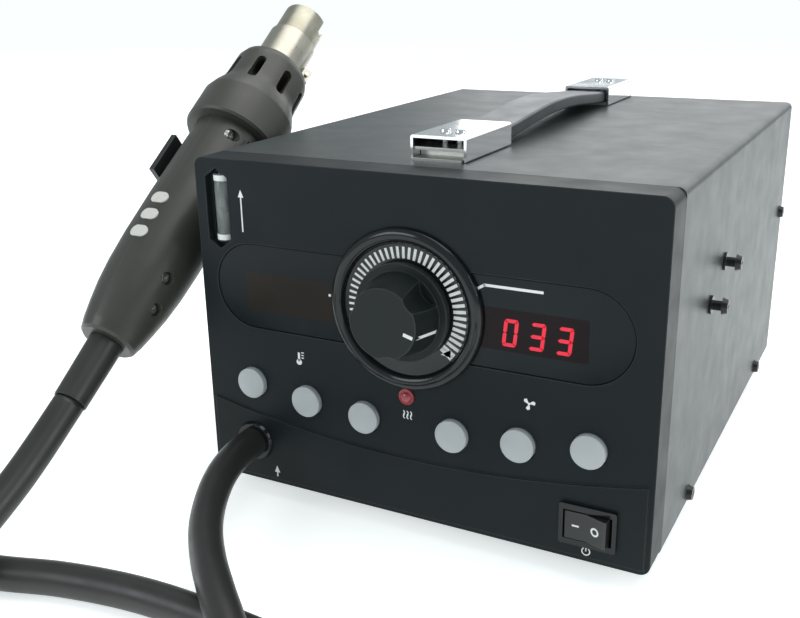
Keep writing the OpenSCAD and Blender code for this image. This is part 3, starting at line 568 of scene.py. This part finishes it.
LENS_OUT = -0.4
SEGMENTS = {
    "top": (0, 1), "middle": (0, 0), "bottom": (0, -1),
    "upper_left": (-1, 0.5), "upper_right": (1, 0.5), "lower_left": (-1, -0.5), "lower_right": (1, -0.5),
}
DIGITS = {
    "0": ("top", "bottom", "upper_left", "upper_right", "lower_left", "lower_right"),
    "3": ("top", "middle", "bottom", "upper_right", "lower_right"),
}


def digit(mark, x, y, w=5.4, h=10.2, t=1.35, slant=0.1):
    """The lit segments of one digit, each a bar with pointed ends."""
    cells = []
    for name in DIGITS[mark]:
        sx, sy = SEGMENTS[name]
        cx, cy = sx * (w - t) / 2, sy * (h - t) / 2
        long = (w if sx == 0 else h / 2) - t - 0.25
        along = [(-long / 2 - t / 2, 0), (-long / 2, -t / 2), (long / 2, -t / 2), (long / 2 + t / 2, 0),
                 (long / 2, t / 2), (-long / 2, t / 2)]
        cells.append([(x + u + v * slant, y + v)
                      for u, v in turned(along, 0 if sx == 0 else 90, cx, cy)])
    return cells


def make_displays():
    window = rounded(WINDOW_W, WINDOW_H, 0.8)
    for name, node, material in (("left_window", "temperature_display", WINDOW_BROWN),
                                 ("right_window", "air_display", WINDOW_RED)):
        spot = middle(node)
        spot.y = on_front(0, 0, LENS_OUT).y
        raised(name, [window], spot, RIGHT, UP, "station", material, 0.02)
        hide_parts(node)
    marks = digit("0", 39.8, 82.2) + digit("3", 49.8, 82.2) + digit("3", 59.7, 82.2)
    raised("lit_digits", marks, on_front(0, 0, LENS_OUT + 0.03), RIGHT, UP, "station", DIGIT_RED,
           0.04)


def make_dial_scale():
    dial = middle("dial_plate")
    spot = Vector((dial.x, panel_y - 0.6 * MM, dial.z))
    first, last, count = 205.0, -30.0, 40
    marks = []
    for i in range(count):
        share = i / (count - 1)
        angle = first + (last - first) * share
        inner = 19.6
        outer = 23.4 + 1.4 * share ** 1.4
        middle_r = (inner + outer) / 2
        t = math.radians(angle)
        marks.append(bar(middle_r * math.cos(t), middle_r * math.sin(t), outer - inner,
                         0.85 + 0.45 * share ** 1.2, angle))
    for angle, w in ((first + 6, 1.5), (last - 6.5, 1.6), (last - 10.5, 1.6)):
        t = math.radians(angle)
        marks.append(bar(21.9 * math.cos(t), 21.9 * math.sin(t), 5.4, w, angle))
    raised("dial_scale", marks, spot, RIGHT, UP, "station", WHITE_PRINT_AND_HIGHLIGHT)
    wedges = [[(-19.0, -13.0), (-15.4, -14.6), (-15.4, -13.6)],
              [(14.4, -14.8), (18.4, -15.4), (18.4, -12.4)]]
    raised("dial_wedges", wedges, spot, RIGHT, UP, "station", WHITE_PRINT_AND_HIGHLIGHT)


def thermometer(x, y):
    bulb = disc(x, y - 1.7, 1.25)
    return [bulb, bar(x, y + 0.5, 1.0, 3.6)] + [bar(x + 1.7, y + 0.2 + 1.1 * k, 1.2, 0.4) for k in range(3)]


def fan(x, y):
    blades = [disc(x, y, 0.5)]
    for angle in (0, 120, 240):
        blade = [(0.5, -0.2), (1.9, -0.9), (2.5, 0.0), (1.9, 0.7), (0.6, 0.4)]
        blades.append(turned(blade, angle + 20, x, y))
    return blades


def heat_waves(x, y):
    cells = []
    for k in (-1, 0, 1):
        cells += band(x + 1.5 * k - 0.35, y + 0.8, 0.55, 0.95, -80, 80, 6)
        cells += band(x + 1.5 * k + 0.6, y - 0.8, 0.55, 0.95, 100, 260, 6)
    return cells


def power_mark(x, y, r=1.45):
    return band(x, y, r - 0.2, r + 0.2, 125, 415, 18) + [bar(x, y + r * 0.65, 0.42, 1.8)]


def arrow(x, low, high):
    tip = [(x, high), (x - 1.3, high - 3.0), (x + 1.3, high - 3.0)]
    return [tip, bar(x, (low + high - 3.0) / 2, 0.6, high - low - 3.0)]


def make_prints():
    origin = on_front(0, 0)
    marks = thermometer(-48.8, 58.2) + fan(47.5, 57.1) + heat_waves(-1.0, 43.2)
    marks += arrow(-72, 106.8, 123.4)
    raised("panel_marks", marks, origin, RIGHT, UP, "station", WHITE_PRINT_AND_HIGHLIGHT)
    strip = power_mark(70.6, 4.6) + arrow(-62.0, 3.4, 8.4)
    raised("strip_marks", strip, on_front(0, 0, STRIP_RISE), RIGHT, UP, "station", WHITE_PRINT_AND_HIGHLIGHT)
    line = [bar(40.5, 98.4, 22, 1.0), bar(28.6, 97.6, 3.4, 1.0, 32)]
    line.append(disc(-33.6, 86, 0.55))
    raised("lens_marks", line, on_front(0, 0, LENS_OUT), RIGHT, UP, "station", WHITE_PRINT_AND_HIGHLIGHT)


def make_knob_mark():
    """A strip up the side of the tapered grip and a short piece over the knob's face."""
    knob = middle("knob")
    face_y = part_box("knob")[0].y
    t = math.radians(POINTER_ANGLE)
    along = Vector((math.cos(t), 0, math.sin(t)))
    across = Vector((-math.sin(t), 0, math.cos(t)))
    face = Vector((knob.x, face_y, knob.z))
    raised("knob_pointer", [bar(10.6, 0, 3.8, 1.3)], face, along, across, "knob", WHITE_PRINT_AND_HIGHLIGHT)
    foot = face + (along * KNOB_FOOT_R + Vector((0, 1, 0)) * 12.6) * MM
    crest = face + (along * KNOB_CREST_R + Vector((0, 1, 0)) * 0.9) * MM
    up_side = (foot - crest).normalized()
    raised("knob_strip", [bar(0, 0, 11.6, 1.3)], (foot + crest) / 2, up_side, across, "knob", WHITE_PRINT_AND_HIGHLIGHT)


def make_rocker_marks():
    """A bar on the pressed left half and a ring on the raised right half."""
    tilt = math.radians(ROCKER_TILT)
    pivot = Vector(joints["rocker_tilt"]["pos_m"])

    def in_rocker(u, out):
        return pivot + (RIGHT * (u * math.cos(tilt) - out * math.sin(tilt))
                        - Vector((0, 1, 0)) * (u * math.sin(tilt) + out * math.cos(tilt))) * MM

    left, crease, right_end = (in_rocker(-7.5, 3.0), in_rocker(0, 1.7), in_rocker(7.5, 3.0))
    for name, a, b, marks in (("rocker_on_mark", left, crease, [bar(0, 0, 2.6, 0.7)]),
                              ("rocker_off_mark", crease, right_end, band(0, 0, 1.0, 1.7, 0, 360, 24))):
        raised(name, marks, (a + b) / 2, (b - a).normalized(), UP, "rocker", WHITE_PRINT_AND_HIGHLIGHT)


def make_gauge_highlights():
    # Painted highlights: white bands over the front half of the gauge tube near both ends stand for the glints on
    # the tube's end holders.
    tube = middle("gauge_tube")
    low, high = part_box("gauge_tube")
    radius = (high.x - low.x) / 2 + 0.04 * MM
    for name, z in (("gauge_highlight_top", high.z - 1.6 * MM), ("gauge_highlight_bottom", low.z + 1.6 * MM)):
        mesh = bpy.data.meshes.new(name)
        shape = bmesh.new()
        steps, half, thick = 16, 1.1 * MM, 0.05 * MM
        rings = []
        for i in range(steps + 1):
            t = math.radians(195 + 150 * i / steps)
            spoke = Vector((math.cos(t), math.sin(t), 0))
            rings.append([shape.verts.new(Vector((tube.x, tube.y, z)) + spoke * r + UP * h)
                          for r, h in ((radius, -half), (radius + thick, -half), (radius + thick, half),
                                       (radius, half))])
        for a, b in zip(rings, rings[1:]):
            for k in range(4):
                shape.faces.new((a[k], a[(k + 1) % 4], b[(k + 1) % 4], b[k]))
        shape.faces.new(rings[0])
        shape.faces.new(rings[-1][::-1])
        bmesh.ops.recalc_face_normals(shape, faces=shape.faces)
        shape.to_mesh(mesh)
        shape.free()
        new_piece(name, mesh, "station", WHITE_PRINT_AND_HIGHLIGHT)


make_camera()
make_stage()
make_hose()
make_casing()
make_handle()
make_handpiece()
make_displays()
make_dial_scale()
make_prints()
make_knob_mark()
make_rocker_marks()
make_gauge_highlights()
